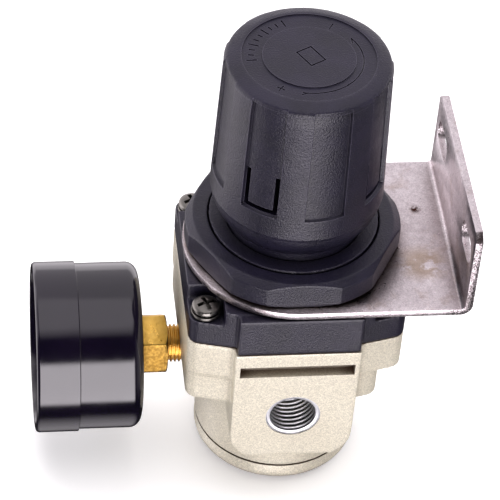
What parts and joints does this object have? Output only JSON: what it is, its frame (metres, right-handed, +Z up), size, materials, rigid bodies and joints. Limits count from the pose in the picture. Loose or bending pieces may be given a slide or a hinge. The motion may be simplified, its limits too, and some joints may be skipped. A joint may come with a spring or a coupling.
{
  "type": "air pressure regulator",
  "caption": "Compressed-air pressure regulator with a lockable adjusting knob, panel nut, bent wall bracket, two threaded ports in line and a back-entry dial gauge.",
  "frame": {"origin": "middle of the flat underside of the bottom plug, on the knob's axis", "axes": "+Z up along the knob's axis; +X towards the bracket's wall face, the gauge points to -X; the two ports open at -Y (inlet) and +Y (outlet)"},
  "size_m": [0.1033, 0.0532, 0.1236],
  "materials": {
    "body_paint": "champagne metallic paint, fine orange peel, satin",
    "charcoal_plastic": "fine moulded grain, satin",
    "nickel_sheet": "dull nickel plate with specks and handling stains",
    "dark_zinc": "dark zinc plate",
    "gauge_brass": "turned brass",
    "movement_brass": "stamped brass",
    "steel": "turned steel",
    "spring_steel": "drawn wire",
    "alloy": "turned aluminium",
    "rubber": "matt nitrile rubber",
    "gauge_black": "gloss black",
    "dial_white": "printed white dial",
    "pointer_black": "matt black paint",
    "clear_window": "clear moulded window"
  },
  "bodies": {
    "housing": {"regulator_body": "body_paint", "bonnet": "charcoal_plastic", "bottom_plug": "body_paint", "plug_o_ring": "rubber", "gauge_port_plug": "dark_zinc", "bonnet_screw_1": "dark_zinc", "bonnet_screw_2": "dark_zinc", "bonnet_screw_3": "dark_zinc", "bonnet_screw_4": "dark_zinc", "screw_washer_1": "dark_zinc", "screw_washer_2": "dark_zinc", "screw_washer_3": "dark_zinc", "screw_washer_4": "dark_zinc", "panel_nut": "charcoal_plastic", "mounting_bracket": "nickel_sheet", "thrust_washer": "steel", "regulating_spring": "spring_steel", "diaphragm": "rubber", "valve_spring": "spring_steel", "gauge_socket": "gauge_brass", "gauge_case": "gauge_black", "gauge_ring": "gauge_black", "gauge_window": "clear_window", "gauge_dial": "dial_white", "bourdon_tube": "movement_brass", "movement_back_plate": "movement_brass", "movement_front_plate": "movement_brass", "movement_pillar_1": "movement_brass", "movement_pillar_2": "movement_brass", "dial_screw_1": "steel", "dial_screw_2": "steel"},
    "spindle": {"adjusting_screw": "steel"},
    "knob": {"knob": "charcoal_plastic"},
    "spring_seat": {"spring_seat": "steel"},
    "diaphragm_stack": {"diaphragm_plate": "alloy", "relief_seat": "movement_brass"},
    "valve": {"valve_poppet": "movement_brass", "valve_seal": "rubber", "stem_o_ring": "rubber"},
    "sector": {"sector_gear": "movement_brass"},
    "pointer": {"gauge_pointer": "pointer_black", "pinion_arbor": "steel"},
    "tip_link": {"tip_link": "steel"}
  },
  "joints": [
    {"name": "knob_turn", "type": "hinge", "parent": "housing", "child": "spindle", "pos_m": [0, 0, 0.1], "axis": [0, 0, -1], "range_deg": [0, 2160]},
    {"name": "knob_pull", "type": "slide", "parent": "spindle", "child": "knob", "axis": [0, 0, 1], "range_m": [0, 0.0025]},
    {"name": "spring_seat_travel", "type": "slide", "parent": "housing", "child": "spring_seat", "axis": [0, 0, -1], "range_m": [0, 0.009], "deforming": ["regulating_spring"]},
    {"name": "diaphragm_stroke", "type": "slide", "parent": "housing", "child": "diaphragm_stack", "axis": [0, 0, -1], "range_m": [0, 0.0012], "stiffness_N_per_m": 1500, "deforming": ["diaphragm"]},
    {"name": "valve_stroke", "type": "slide", "parent": "housing", "child": "valve", "axis": [0, 0, -1], "range_m": [0, 0.0012], "stiffness_N_per_m": 800, "deforming": ["valve_spring"]},
    {"name": "sector_swing", "type": "hinge", "parent": "housing", "child": "sector", "pos_m": [-0.0517, 0, 0.01878], "axis": [-1, 0, 0], "range_deg": [0, 30]},
    {"name": "pointer_turn", "type": "hinge", "parent": "housing", "child": "pointer", "pos_m": [-0.0517, 0, 0.0309], "axis": [1, 0, 0], "range_deg": [0, 270]},
    {"name": "link_swing", "type": "hinge", "parent": "sector", "child": "tip_link", "pos_m": [-0.053, -0.00257, 0.01572], "axis": [-1, 0, 0], "range_deg": [-30, 0]}
  ],
  "couplings": [
    {"joint": "spring_seat_travel", "follows": "knob_turn", "m_per_rad": 0.00023873},
    {"joint": "valve_stroke", "follows": "diaphragm_stroke", "ratio": 1},
    {"joint": "pointer_turn", "follows": "sector_swing", "ratio": 9},
    {"joint": "link_swing", "follows": "sector_swing", "ratio": -1}
  ]
}
